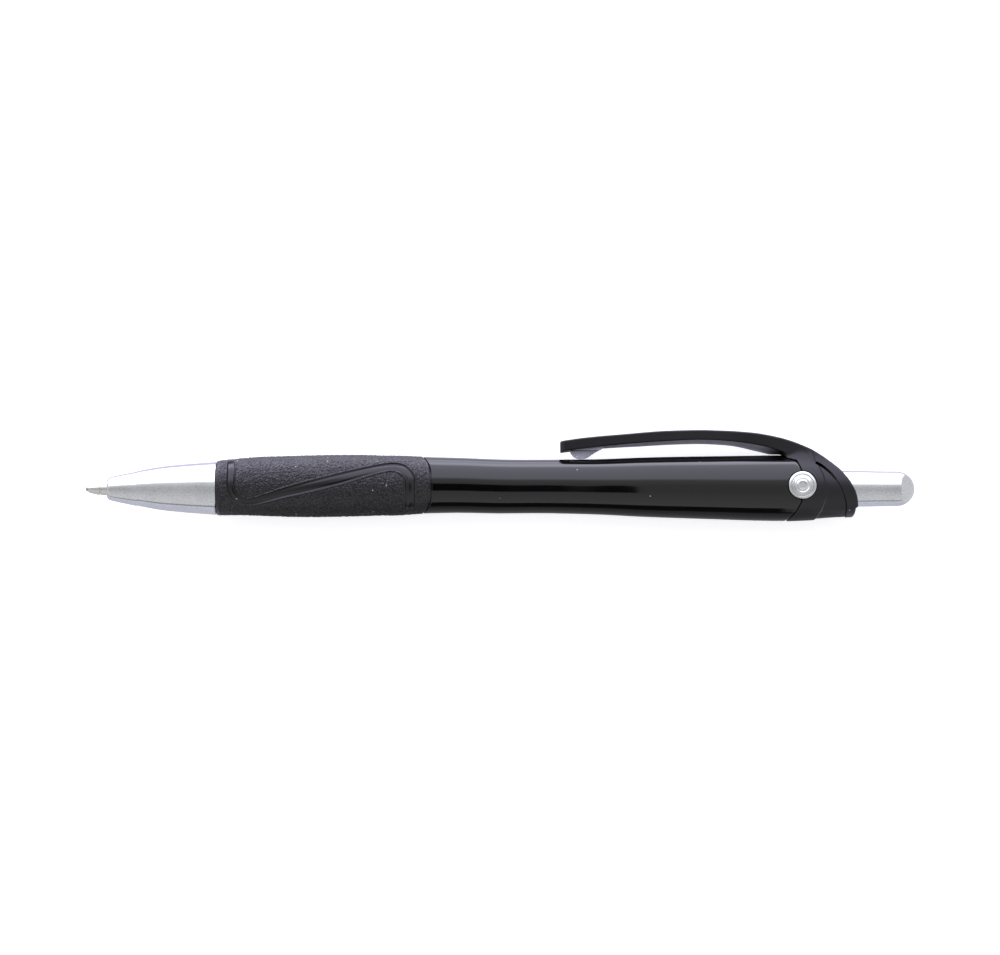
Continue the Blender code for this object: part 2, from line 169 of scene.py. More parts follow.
def lathe(profile, seg=96, warp=None, poles=(False, False)):
    """Rings round the axis: closed into a tube, or ending in a pole at either end."""
    prof = np.array(profile, float)
    th = np.linspace(0, 2 * np.pi, seg, endpoint=False)
    X = np.repeat(prof[:, :1], seg, 1)
    R = np.repeat(prof[:, 1:2], seg, 1)
    TH = np.repeat(th[None], len(prof), 0)
    if warp:
        P = warp(X, R, TH)
    else:
        P = np.stack([X, R * np.sin(TH), R * np.cos(TH)], -1)
    n = len(prof)
    if not any(poles):
        return P.reshape(-1, 3), [grid_faces(n, seg, True)]
    V = P.reshape(-1, 3)
    F = [grid_faces(n, seg, False)]
    j = np.arange(seg)
    extra = []
    for which, row in ((0, 0), (1, n - 1)):
        centre = P[row].mean(0)
        k = len(V) + len(extra)
        extra.append(centre)
        F.append(np.stack([np.full(seg, k), row * seg + (j + 1 - which) % seg, row * seg + (j + which) % seg], -1))
    return np.concatenate([V, extra]), F


def bowed(X, R, TH, weight=1.0):
    return np.stack([X, smooth_at(BOW, X) * weight + R * np.sin(TH), R * np.cos(TH)], -1)


# ------------------------------------------------------------------ materials
def new_material(name, colour, rough, metal=0.0, spec=0.5, coat=0.0, coat_rough=0.03, ior=1.5, transmission=0.0, alpha=1.0):
    mat = bpy.data.materials.new(name)
    mat.use_nodes = True
    nt = mat.node_tree
    b = next(n for n in nt.nodes if n.type == "BSDF_PRINCIPLED")
    b.inputs["Base Color"].default_value = (*colour, 1)
    b.inputs["Roughness"].default_value = rough
    b.inputs["Metallic"].default_value = metal
    b.inputs["IOR"].default_value = ior
    b.inputs["Specular IOR Level"].default_value = spec
    b.inputs["Coat Weight"].default_value = coat
    b.inputs["Coat Roughness"].default_value = coat_rough
    b.inputs["Transmission Weight"].default_value = transmission
    b.inputs["Alpha"].default_value = alpha
    mat.diffuse_color = (*colour, 1)
    return mat, nt, b


def coords(nt, scale=(1, 1, 1)):
    tc = nt.nodes.new("ShaderNodeTexCoord")
    mp = nt.nodes.new("ShaderNodeMapping")
    mp.inputs["Scale"].default_value = scale
    nt.links.new(tc.outputs["Object"], mp.inputs["Vector"])
    return mp.outputs["Vector"]


def noise(nt, vec, scale, detail=3.0, rough=0.5):
    n = nt.nodes.new("ShaderNodeTexNoise")
    n.inputs["Scale"].default_value = scale
    n.inputs["Detail"].default_value = detail
    n.inputs["Roughness"].default_value = rough
    nt.links.new(vec, n.inputs["Vector"])
    return n.outputs["Fac"]


def remap(nt, fac, lo, hi, out_lo, out_hi, smooth=False):
    m = nt.nodes.new("ShaderNodeMapRange")
    if smooth:
        m.interpolation_type = "SMOOTHSTEP"
    for k, v in (("From Min", lo), ("From Max", hi), ("To Min", out_lo), ("To Max", out_hi)):
        m.inputs[k].default_value = v
    nt.links.new(fac, m.inputs["Value"])
    return m.outputs["Result"]


def mix_colour(nt, fac, a, b):
    m = nt.nodes.new("ShaderNodeMix")
    m.data_type = "RGBA"
    for s, v in ((m.inputs[6], a), (m.inputs[7], b)):
        if isinstance(v, tuple):
            s.default_value = (*v, 1)
        else:
            nt.links.new(v, s)
    nt.links.new(fac, m.inputs[0])
    return m.outputs[2]


def maths(nt, op, a, b):
    m = nt.nodes.new("ShaderNodeMath")
    m.operation = op
    for s, v in ((m.inputs[0], a), (m.inputs[1], b)):
        if isinstance(v, (int, float)):
            s.default_value = v
        else:
            nt.links.new(v, s)
    return m.outputs[0]


def bump(nt, bsdf, height, strength, distance_mm, normal=None):
    b = nt.nodes.new("ShaderNodeBump")
    b.inputs["Strength"].default_value = strength
    b.inputs["Distance"].default_value = distance_mm * MM
    nt.links.new(height, b.inputs["Height"])
    if normal is not None:
        nt.links.new(normal, b.inputs["Normal"])
    nt.links.new(b.outputs["Normal"], bsdf.inputs["Normal"])
    return b.outputs["Normal"]


def dust(nt, vec, size_mm, share):
    """Sparse specks: 1 in the middle of a few cells, 0 elsewhere."""
    v = nt.nodes.new("ShaderNodeTexVoronoi")
    v.feature = "F1"
    v.inputs["Scale"].default_value = 1000 / size_mm / 6
    nt.links.new(vec, v.inputs["Vector"])
    sep = nt.nodes.new("ShaderNodeSeparateColor")
    nt.links.new(v.outputs["Color"], sep.inputs["Color"])
    near = remap(nt, v.outputs["Distance"], 0.10, 0.20, 1.0, 0.0, True)
    chosen = maths(nt, "LESS_THAN", sep.outputs[0], share)
    return maths(nt, "MULTIPLY", near, chosen)


def chrome_material(name, colour=(0.56, 0.565, 0.58)):
    mat, nt, b = new_material(name, colour, 0.05, 1.0)
    vec = coords(nt)
    cloud = noise(nt, vec, 260, 4)
    fine = noise(nt, vec, 2600, 3, 0.6)
    specks = dust(nt, vec, 0.10, 0.055)
    pits = noise(nt, vec, 3600, 2, 0.7)
    both = maths(nt, "ADD", maths(nt, "MULTIPLY", cloud, 0.35), maths(nt, "MULTIPLY", pits, 0.65))
    tone = mix_colour(nt, remap(nt, both, 0.36, 0.64, 0.0, 1.0), tuple(c * 0.88 for c in colour), tuple(min(1, c * 1.09) for c in colour))
    nt.links.new(mix_colour(nt, specks, tone, (0.22, 0.22, 0.22)), b.inputs["Base Color"])
    rough = maths(nt, "ADD", remap(nt, cloud, 0.3, 0.7, 0.035, 0.085), maths(nt, "MULTIPLY", specks, 0.25))
    nt.links.new(rough, b.inputs["Roughness"])
    bump(nt, b, fine, 0.10, 0.004)
    return mat


def barrel_material():
    colour = (0.0010, 0.0010, 0.0012)
    mat, nt, b = new_material("barrel_gloss_black", colour, 0.12, 0.0, 0.5)
    vec = coords(nt)
    cloud = noise(nt, vec, 160, 4)
    streak = noise(nt, coords(nt, (0.08, 1, 1)), 2600, 2)
    fine = noise(nt, vec, 3200, 2)
    specks = dust(nt, vec, 0.13, 0.012)
    nt.links.new(mix_colour(nt, specks, mix_colour(nt, cloud, colour, (0.0016, 0.0016, 0.0019)), (0.35, 0.35, 0.36)), b.inputs["Base Color"])
    rough = maths(nt, "ADD", remap(nt, cloud, 0.3, 0.7, 0.055, 0.090), remap(nt, streak, 0.55, 0.75, 0.0, 0.03))
    rough = maths(nt, "ADD", rough, maths(nt, "MULTIPLY", specks, 0.5))
    nt.links.new(rough, b.inputs["Roughness"])
    bump(nt, b, fine, 0.16, 0.008)
    return mat


def satin_material():
    colour = (0.0016, 0.0015, 0.0019)
    mat, nt, b = new_material("cap_satin_black", colour, 0.36, 0.0, 0.46)
    b.inputs["Specular Tint"].default_value = (0.94, 0.92, 1.0, 1)
    vec = coords(nt)
    cloud = noise(nt, vec, 220, 4)
    grain = noise(nt, vec, 4200, 4, 0.6)
    specks = dust(nt, vec, 0.13, 0.012)
    attr = nt.nodes.new("ShaderNodeAttribute")
    attr.attribute_name = "plainness"  # how much painted reflection the clip's underside strip and the nub get
    sheen_paint_weight = maths(nt, "MULTIPLY", attr.outputs["Fac"], remap(nt, noise(nt, vec, 1400, 3), 0.3, 0.7, 0.85, 1.1))
    # painted reflection: where the mask is set, the base colour turns lavender grey, standing in for the light the
    # clip's underside and nub reflect
    tone = mix_colour(nt, sheen_paint_weight, mix_colour(nt, cloud, colour, (0.0026, 0.0025, 0.0030)), (0.30, 0.295, 0.345))
    nt.links.new(mix_colour(nt, specks, tone, (0.35, 0.35, 0.36)), b.inputs["Base Color"])
    nt.links.new(remap(nt, cloud, 0.3, 0.7, 0.31, 0.41), b.inputs["Roughness"])
    bump(nt, b, grain, 0.22, 0.010)
    return mat


def rubber_material():
    colour = (0.0016, 0.0015, 0.0020)
    mat, nt, b = new_material("grip_rubber", colour, 0.5, 0.0, 0.5)
    b.inputs["Specular Tint"].default_value = (0.95, 0.93, 1.0, 1)
    vec = coords(nt)
    attr = nt.nodes.new("ShaderNodeAttribute")
    attr.attribute_name = "plainness"
    plain = attr.outputs["Fac"]
    cloud = noise(nt, vec, 200, 4)
    grain = noise(nt, vec, 5200, 4, 0.65)
    pores = nt.nodes.new("ShaderNodeTexVoronoi")
    pores.inputs["Scale"].default_value = 3600
    nt.links.new(vec, pores.inputs["Vector"])
    specks = dust(nt, vec, 0.13, 0.030)
    tone = mix_colour(nt, cloud, colour, (0.0026, 0.0025, 0.0032))
    nt.links.new(mix_colour(nt, specks, tone, (0.35, 0.35, 0.36)), b.inputs["Base Color"])
    textured = maths(nt, "SUBTRACT", 1.0, plain)
    rough = maths(nt, "ADD", remap(nt, cloud, 0.3, 0.7, 0.20, 0.25), maths(nt, "MULTIPLY", textured, 0.11))
    nt.links.new(rough, b.inputs["Roughness"])
    leather = nt.nodes.new("ShaderNodeTexVoronoi")
    leather.feature = "DISTANCE_TO_EDGE"
    leather.inputs["Scale"].default_value = 2500
    nt.links.new(vec, leather.inputs["Vector"])
    height = maths(nt, "ADD", grain, maths(nt, "MULTIPLY", pores.outputs["Distance"], 0.8))
    shine = maths(nt, "MULTIPLY", remap(nt, leather.outputs["Distance"], 0.02, 0.24, 0.33, 0.76), textured)  # the grain's valleys stay dull
    nt.links.new(maths(nt, "ADD", shine, maths(nt, "MULTIPLY", plain, 0.5)), b.inputs["Specular IOR Level"])
    height = maths(nt, "MULTIPLY", height, maths(nt, "ADD", maths(nt, "MULTIPLY", textured, 0.9), 0.1))
    bump(nt, b, height, 0.85, 0.050)
    return mat


def metal_material(name, colour, rough, ring=3000):
    """Turned metal: fine lines round the axis, and a little tarnish."""
    mat, nt, b = new_material(name, colour, rough, 1.0)
    lines = noise(nt, coords(nt, (1, 0.05, 0.05)), ring * 2, 3)
    cloud = noise(nt, coords(nt), 500, 3)
    nt.links.new(mix_colour(nt, cloud, tuple(c * 0.85 for c in colour), tuple(min(1, c * 1.1) for c in colour)), b.inputs["Base Color"])
    nt.links.new(remap(nt, lines, 0.3, 0.7, rough * 0.75, rough * 1.35), b.inputs["Roughness"])
    bump(nt, b, lines, 0.15, 0.004)
    return mat


def plastic_material(name, colour, rough, transmission=0.0, ior=1.5):
    mat, nt, b = new_material(name, colour, rough, 0.0, 0.5, ior=ior, transmission=transmission)
    vec = coords(nt)
    cloud = noise(nt, vec, 300, 4)
    grain = noise(nt, vec, 3800, 3)
    nt.links.new(mix_colour(nt, cloud, tuple(c * 0.93 for c in colour), tuple(min(1, c * 1.04) for c in colour)), b.inputs["Base Color"])
    nt.links.new(remap(nt, cloud, 0.3, 0.7, rough * 0.85, rough * 1.15), b.inputs["Roughness"])
    bump(nt, b, grain, 0.10, 0.006)
    return mat


CHROME = chrome_material("nose_chrome", (0.585, 0.59, 0.605))
BADGE = chrome_material("badge_chrome", (0.60, 0.605, 0.61))
GLOSS = barrel_material()
SATIN = satin_material()
RUBBER = rubber_material()
NICKEL = metal_material("nickel_silver", (0.62, 0.605, 0.56), 0.18)
STEEL = metal_material("spring_steel", (0.52, 0.53, 0.55), 0.22)
BALL = metal_material("ball_carbide", (0.40, 0.40, 0.42), 0.14)
WHITE = plastic_material("white_plastic", (0.74, 0.74, 0.72), 0.38)
ACETAL = plastic_material("acetal", (0.16, 0.19, 0.26), 0.40)
TUBE = plastic_material("clear_tube", (0.86, 0.90, 0.93), 0.12, transmission=0.92, ior=1.49)
INK = plastic_material("ink", (0.004, 0.006, 0.030), 0.18)
GREASE = plastic_material("grease", (0.60, 0.52, 0.30), 0.30)


# ------------------------------------------------------------------ nose cone
def nose_piece():
    outer = [(x, float(smooth_at(NOSE, x))) for x in np.linspace(-49.1, -67.5, 90)]
    front = [(-67.68, 1.70), (-67.74, 1.58), (-67.74, 1.40), (-67.66, 1.32)]
    bore = dense([(-67.66, 1.32), (-63.0, 1.32), (-63.0, 2.45), (-41.2, 2.45)], 1.5)[1:]
    thread_x = np.arange(-41.35, -48.2, -0.07)
    spigot = [(-41.2, 2.70)] + [(x, 2.80) for x in thread_x] + [(-48.9, 2.80), (-48.90, 2.85), (-48.90, 4.46), (-48.92, 4.51), (-48.97, 4.54)]
    prof = spigot + outer + front + bore

    def warp(X, R, TH):
        ridge = (X < -41.3) & (X > -48.25) & (np.abs(R - 2.80) < 1e-6)
        turn = (X + 41.3) / 1.1 - TH / (2 * np.pi)
        f = np.abs((turn % 1.0) - 0.5) * 2
        fade = ease((-41.3 - X) / 0.6) * ease((X + 48.3) / 0.8)
        R = R + ridge * fade * 0.19 * ease((f - 0.30) / 0.4)
        return np.stack([X, 0.07 * (R > 3) + R * np.sin(TH), R * np.cos(TH)], -1)

    V, F = lathe(prof, 128, warp)
    return piece("nose_cone_shell", V, F, CHROME, "nose", ["nose_cone"], sharp=40)


nose_piece()


# ------------------------------------------------------------------ grip with its smooth S-shaped channel
def hash01(i, salt):
    n = (i[..., 0] * 73856093) ^ (i[..., 1] * 19349663) ^ (i[..., 2] * 83492791) ^ (salt * 2654435761)
    n = (n ^ (n >> 13)) & 0x7FFFFFFF
    n = (n * 1274126177) & 0x7FFFFFFF
    n = (n ^ (n >> 16)) & 0x7FFFFFFF
    return (n % 100003) / 100003.0


def worley(P, cell):
    """Distances to the nearest and second nearest of the scattered points, in cells."""
    Q = P / cell
    base = np.floor(Q).astype(np.int64)
    f1 = np.full(len(P), 9.0)
    f2 = np.full(len(P), 9.0)
    for dx in (-1, 0, 1):
        for dy in (-1, 0, 1):
            for dz in (-1, 0, 1):
                c = base + np.array([dx, dy, dz])
                pt = c + np.stack([hash01(c, 1), hash01(c, 2), hash01(c, 3)], -1)
                d = np.linalg.norm(Q - pt, axis=1)
                closer = d < f1
                f2 = np.where(closer, f1, np.minimum(f2, d))
                f1 = np.where(closer, d, f1)
    return f1, f2


def value_noise(P, cell):
    Q = P / cell
    base = np.floor(Q).astype(np.int64)
    t = Q - base
    t = t * t * (3 - 2 * t)
    out = 0
    for dx in (0, 1):
        for dy in (0, 1):
            for dz in (0, 1):
                w = (t[:, 0] if dx else 1 - t[:, 0]) * (t[:, 1] if dy else 1 - t[:, 1]) * (t[:, 2] if dz else 1 - t[:, 2])
                out = out + w * hash01(base + np.array([dx, dy, dz]), 7)
    return out


# the channel's middle line and its width, seen from the side: (x, height, width)
CHANNEL = (
    (-46.25, 4.40, 1.36), (-46.25, 2.50, 1.36), (-46.25, 0.80, 1.36), (-45.9, -0.60, 1.38), (-45.1, -1.65, 1.38), (-43.75, -2.32, 1.40),
    (-42.3, -2.22, 1.46), (-40.3, -1.67, 1.50), (-37.3, -0.76, 1.62), (-34.05, 0.10, 1.86), (-27.9, 1.66, 2.02), (-23.8, 2.76, 1.84),
    (-20.7, 3.52, 1.72), (-18.35, 3.86, 1.76), (-16.75, 3.42, 1.86), (-15.75, 2.35, 1.84), (-15.45, 1.20, 1.76), (-15.42, -2.95, 1.66),
)


def channel_line():
    c = np.array(CHANNEL)
    t = np.arange(len(c))
    u = np.linspace(0, len(c) - 1, 150)
    return np.stack([smooth_at(np.stack([t, c[:, k]], 1), u) for k in range(3)], 1)


def grip_piece():
    nth = 380
    nx = 400
    xs = np.linspace(-48.30, -12.15, nx)
    outer = [(x, float(smooth_at(GRIP, x))) for x in xs]
    rear = [(-12.03, 4.94), (-11.95, 4.90), (-11.91, 4.82), (-11.91, 4.25)]
    bore = [(-14, 4.25), (-18, 4.25), (-26, 4.25), (-34, 4.25), (-42, 4.25), (-48.78, 4.25)]
    front = [(-48.82, 4.30), (-48.82, 4.52), (-48.77, 4.62), (-48.64, 4.69), (-48.46, 4.725)]
    prof = outer + rear + bore + front
    n_out = len(outer)
    line = channel_line()
    line_r = smooth_at(GRIP, line[:, 0])
    line_c = smooth_at(BOW, line[:, 0])
    line_s = line_r * np.arcsin(np.clip((line[:, 1] - line_c) / line_r, -1, 1))
    store = {}

    def warp(X, R, TH):
        n, m = X.shape
        sweep = -EDGE_SWEEP * np.sin(TH) ** 4 * ease((X + 17.0) / 4.4)
        base_r = R[:n_out]
        S = base_r * np.arcsin(np.clip(np.sin(TH[:n_out]), -1, 1))
        Q = np.stack([X[:n_out].ravel(), S.ravel()], 1)
        best = np.full(len(Q), 9.0)
        for k in range(len(line) - 1):
            a = np.array([line[k, 0], line_s[k]])
            b = np.array([line[k + 1, 0], line_s[k + 1]])
            near = np.abs(Q - (a + b) / 2).max(1) < 3.0
            if not near.any():
                continue
            q = Q[near]
            ab = b - a
            t = np.clip(((q - a) @ ab) / (ab @ ab), 0, 1)
            d = np.linalg.norm(q - a - t[:, None] * ab, axis=1) - (line[k, 2] + (line[k + 1, 2] - line[k, 2]) * t) / 2
            best[near] = np.minimum(best[near], d)
        lip = 0.105 * np.exp(-(((best - 0.03) / 0.11) ** 2)) - 0.045 * np.exp(-(((best - 0.30) / 0.12) ** 2))
        trench = -0.20 * ease((-best - 0.02) / 0.22)
        crown = 0.07 * ease((-best - 0.26) / 0.45)
        plain = ease((0.16 - best) / 0.14)
        P0 = np.stack([X[:n_out], base_r * np.sin(TH[:n_out]), base_r * np.cos(TH[:n_out])], -1).reshape(-1, 3)
        wobble = np.stack([value_noise(P0 + 11 * k, 1.1) for k in (1, 2, 3)], 1) - 0.5
        f1, f2 = worley(P0 + wobble * 0.70, 0.60)
        cells = ease((f2 - f1) / 0.42)
        g1, g2 = worley(P0[:, [1, 2, 0]] + wobble * 0.3, 0.36)
        fine = ease((g2 - g1) / 0.45)
        grain = 0.078 * (cells - 0.75) + 0.040 * (fine - 0.7) + 0.020 * (value_noise(P0, 0.8) - 0.5)
        edge = ease((P0[:, 0] + 48.4) / 0.5) * ease((-12.2 - P0[:, 0]) / 0.4)
        off = lip + trench + crown + grain * (1 - plain) * edge
        R = R.copy()
        R[:n_out] = base_r + off.reshape(n_out, m)
        full = np.zeros((n, m))
        full[:n_out] = plain.reshape(n_out, m)
        full[n_out:] = 0.4
        store["mask"] = full.ravel()
        return np.stack([X + sweep, smooth_at(BOW, X) + R * np.sin(TH), R * np.cos(TH)], -1)

    V, F = lathe(prof, nth, warp)
    return piece("grip_skin", V, F, RUBBER, "pen_body", ["grip_sleeve"], sharp=50, mask=store["mask"])


grip_piece()


# ------------------------------------------------------------------ barrel
def barrel_piece():
    end_u = 54.0
    xs = np.concatenate([np.linspace(49.0, 36.0, 30), np.linspace(35.4, -11.45, 120)])
    visible_end = [(54.0, 4.75), (54.0, 5.50), (53.97, 5.60), (53.88, 5.66)]
    outer = visible_end + [(x, float(smooth_at(BARREL, x))) for x in np.concatenate([np.linspace(53.6, 49.4, 14), xs])]
    shoulder = [(-11.60, 4.888), (-11.66, 4.886), (-11.71, 4.872), (-11.74, 4.84), (-11.75, 4.79), (-11.75, 4.10), (-11.80, 3.95)]
    core = [(-20, 3.95), (-30, 3.95), (-40, 3.95), (-48.5, 3.95), (-48.6, 3.85), (-48.6, 3.25)]
    bore = [(-40.6, 3.25), (-40.6, 2.60), (-20, 2.60), (0, 2.60), (20, 2.60), (33.0, 2.60), (33.0, 3.80), (41.0, 3.80), (41.0, 4.65), (48.0, 4.65), (53.9, 4.65)]
    prof = outer + shoulder + core + bore

    def warp(X, R, TH):
        H = R * np.sin(TH) + 0.12
        front_side = np.abs(H - BADGE_Y)
        arc = SEAM_X + np.sqrt(np.maximum(SEAM_R**2 - (H - SEAM_Y) ** 2, 0))
        notch = BADGE_X - np.sqrt(np.maximum((BADGE_RAD + 0.13) ** 2 - front_side**2, 0))
        end = np.where(front_side < BADGE_RAD + 0.13, np.minimum(arc, notch), arc)
        w = np.clip((X - 38.0) / (end_u - 38.0), 0, 1)
        outside = R > 4.0
        X2 = np.where(outside, X + w * (end - end_u), X)
        sweep = -EDGE_SWEEP * np.sin(TH) ** 4 * ease((-5.0 - X) / 6.0) * (R > 3.99) * (X > -12)
        thick = ease((R - np.where(X < 20, 3.8, 4.7)) / 0.15)
        return np.stack([X2 + sweep, smooth_at(BOW, X) * thick + R * np.sin(TH), R * np.cos(TH)], -1)

    V, F = lathe(prof, 288, warp)
    return piece("barrel_tube", V, F, GLOSS, "pen_body", ["barrel"], sharp=35)


barrel_piece()


# ------------------------------------------------------------------ cap and clip, one moulding
def polygon_distance(poly, px, py):
    """Signed distance to a closed outline, below 0 inside."""
    poly = np.asarray(poly, float)
    nxt = np.roll(poly, -1, 0)
    best = np.full(px.shape, 1e9)
    inside = np.zeros(px.shape, bool)
    for (ax, ay), (bx, by) in zip(poly, nxt):
        ex, ey = bx - ax, by - ay
        wx, wy = px - ax, py - ay
        t = np.clip((wx * ex + wy * ey) / (ex * ex + ey * ey), 0, 1)
        best = np.minimum(best, (wx - t * ex) ** 2 + (wy - t * ey) ** 2)
        if ey != 0:
            cond = ((ay > py) != (by > py)) & (px < ex * (py - ay) / ey + ax)
            inside ^= cond
    d = np.sqrt(best)
    return np.where(inside, -d, d)


def line_side(line, px, py):
    """Signed distance to an open line: above 0 on the side towards +x."""
    line = np.asarray(line, float)
    best = np.full(px.shape, 1e9)
    side = np.zeros(px.shape)
    for (ax, ay), (bx, by) in zip(line[:-1], line[1:]):
        ex, ey = bx - ax, by - ay
        wx, wy = px - ax, py - ay
        t = np.clip((wx * ex + wy * ey) / (ex * ex + ey * ey), 0, 1)
        d = (wx - t * ex) ** 2 + (wy - t * ey) ** 2
        s = np.sign(ex * wy - ey * wx)
        side = np.where(d < best, s, side)
        best = np.minimum(best, d)
    return np.sqrt(best) * side, np.sqrt(best)


def thick_line(line, px, py):
    """Distance to an open line of points (x, y, radius), less its radius there."""
    best = np.full(px.shape, 1e9)
    for (ax, ay, ar), (bx, by, br) in zip(line[:-1], line[1:]):
        ex, ey = bx - ax, by - ay
        wx, wy = px - ax, py - ay
        t = np.clip((wx * ex + wy * ey) / (ex * ex + ey * ey), 0, 1)
        d = np.sqrt((wx - t * ex) ** 2 + (wy - t * ey) ** 2) - (ar + (br - ar) * t)
        best = np.minimum(best, d)
    return best


def join(a, b, k):
    h = np.clip(0.5 + 0.5 * (b - a) / k, 0, 1)
    return b + (a - b) * h - k * h * (1 - h)


def meet(a, b, k):
    return -join(-a, -b, k)


CREASE = [(53.6, 6.5), (54.2, 4.9), (54.6, 4.35), (55.4, 2.62), (56.0, 0.66), (55.95, -1.54), (55.25, -3.72), (54.4, -5.1), (53.8, -6.2)]
SLIT = [(54.45, 4.42, 0.22), (54.9, 4.22, 0.21), (55.75, 3.62, 0.19), (56.75, 2.74, 0.15), (57.6, 1.70, 0.09)]
BAND = [(57.6, 1.70, 0.03), (58.45, 0.45, 0.02), (59.05, -0.98, 0.04), (59.42, -2.4, 0.06), (59.5, -3.5, 0.06), (59.4, -4.7, 0.06), (59.3, -5.6, 0.06)]
BAND_SIDE = [(52.0, 7.4), (53.6, 5.0), (54.45, 4.42), (55.75, 3.62), (56.75, 2.74), (57.6, 1.70), (58.45, 0.45), (59.05, -0.98), (59.42, -2.4), (59.5, -3.5), (59.4, -4.7), (59.3, -6.2)]
REAR = [(61.56, -3.02), (61.37, -3.22), (61.20, -3.32), (61.05, -4.28), (60.87, -4.72), (60.74, -4.95), (60.4, -6.4)]


def cap_fields(px, py):
    """What the cap's shape needs to know about each place in the side view."""
    arch = [(x, float(smooth_at(ARCH, x))) for x in np.concatenate([np.linspace(10.35, 50, 50), np.linspace(50.6, 60.18, 22)])] + [(60.60, 0.52), (60.99, -0.21), (61.30, -1.15), (61.47, -2.0), (61.52, -2.5)]
    envelope = [(10.38, 8.12), (10.60, 8.24)] + [p for p in arch if p[0] > 10.8] + REAR + [(60.0, -8.0), (9.0, -8.0), (9.0, 6.12), (10.28, 6.16), (10.28, 7.9), (10.31, 8.02)]
    under = [(x, float(smooth_at(UNDER, x))) for x in np.linspace(10.35, 47.3, 44)]
    clip = [(9.5, 6.16), (9.5, 11.5), (64.0, 11.5), (64.0, 2.0), (50.2, 2.0), (48.6, 5.2)] + under[::-1]
    nub = [(11.75, 6.95), (12.0, 6.38), (12.33, 5.83), (12.80, 5.38), (13.35, 5.14), (13.9, 5.10), (14.6, 5.12), (15.3, 5.46), (15.9, 5.87), (16.8, 6.41), (17.9, 7.0), (17.6, 7.4), (12.1, 7.3)]
    f = {
        "env": polygon_distance(envelope, px, py),
        "clip": polygon_distance(clip, px, py),
        "nub": polygon_distance(nub, px, py),
        "side_low": smooth_at(SIDE_LOW, px),
        "drop": np.maximum(smooth_at(SIDE_LOW, px) - smooth_at(UNDER, px), 0.12),
        "slit": thick_line(SLIT, px, py),
        "band": thick_line(BAND, px, py),
        "crease": line_side(CREASE, px, py)[0],
        "proud": line_side(BAND_SIDE, px, py)[0],
        "seam": np.sqrt((px - SEAM_X) ** 2 + (py - SEAM_Y) ** 2) - (SEAM_R + 0.12),
        "badge": np.sqrt((px - BADGE_X) ** 2 + (py - BADGE_Y) ** 2) - (BADGE_RAD + 0.13),
    }
    return f


R_LEFT = ((44.0, 5.60), (47.5, 5.62), (49.3, 5.71), (50.5, 5.70), (51.75, 5.65), (53.5, 5.57), (54.3, 5.52), (56.2, 5.38), (62.0, 5.2))
R_RIGHT = ((50.0, 5.50), (54.3, 5.29), (55.2, 5.23), (56.9, 5.10), (58.65, 5.01), (62.0, 4.93))


def cap_distance(f, x, h, z):
    rho = np.sqrt((h - 0.12) ** 2 + z**2)
    rho0 = np.sqrt(h**2 + z**2)
    az = np.abs(z)
    left, right = smooth_at(R_LEFT, x), smooth_at(R_RIGHT, x)
    radius = left + (right - left) * ease(f["crease"] / 0.30 + 0.5) + 0.09 * ease(f["proud"] / 0.12)
    body = np.maximum(rho - radius, 44.6 - x)
    half = 1.18 + 1.34 * ease((x - 38.5) / 12.5)
    corner = np.hypot(np.maximum(11.43 - x, 0), np.maximum(az - half + 1.15, 0)) - 1.15
    arm = meet(f["clip"], np.where(x < 11.43, corner, az - half), 0.20)
    keel = half * (1 - 0.92 * (1 - ease((x - 48.0) / 1.6)) * ease((f["side_low"] - h) / f["drop"]) ** 0.8)
    arm = meet(arm, np.where(h < f["side_low"], (az - keel) * (0.5 + 0.5 * ease((x - 48.0) / 1.6)), az - half), 0.03)
    nub = meet(f["nub"], (az - 0.55 - (7.0 - h) * 0.45) / 1.10, 0.10)
    arm = join(arm, nub, 0.05)
    d = join(body, arm, 0.40 + 1.5 * ease((x - 48.5) / 3.5))
    d = meet(d, f["env"], 0.30)
    d = meet(d, -np.maximum(f["seam"], rho - 5.78), 0.12)
    bore = np.maximum(rho0 - 4.48, x - 57.3)
    d = np.maximum(d, -bore)
    d = meet(d, -(rho0 - 3.28), 0.10)
    d = meet(d, -np.maximum(f["badge"], 4.95 - rho), 0.08)
    slit = np.maximum(f["slit"], 4.62 - rho)
    d = meet(d, -slit, 0.10)
    band = np.maximum(f["band"], 4.78 - rho)
    d = meet(d, -band, 0.06)
    return d


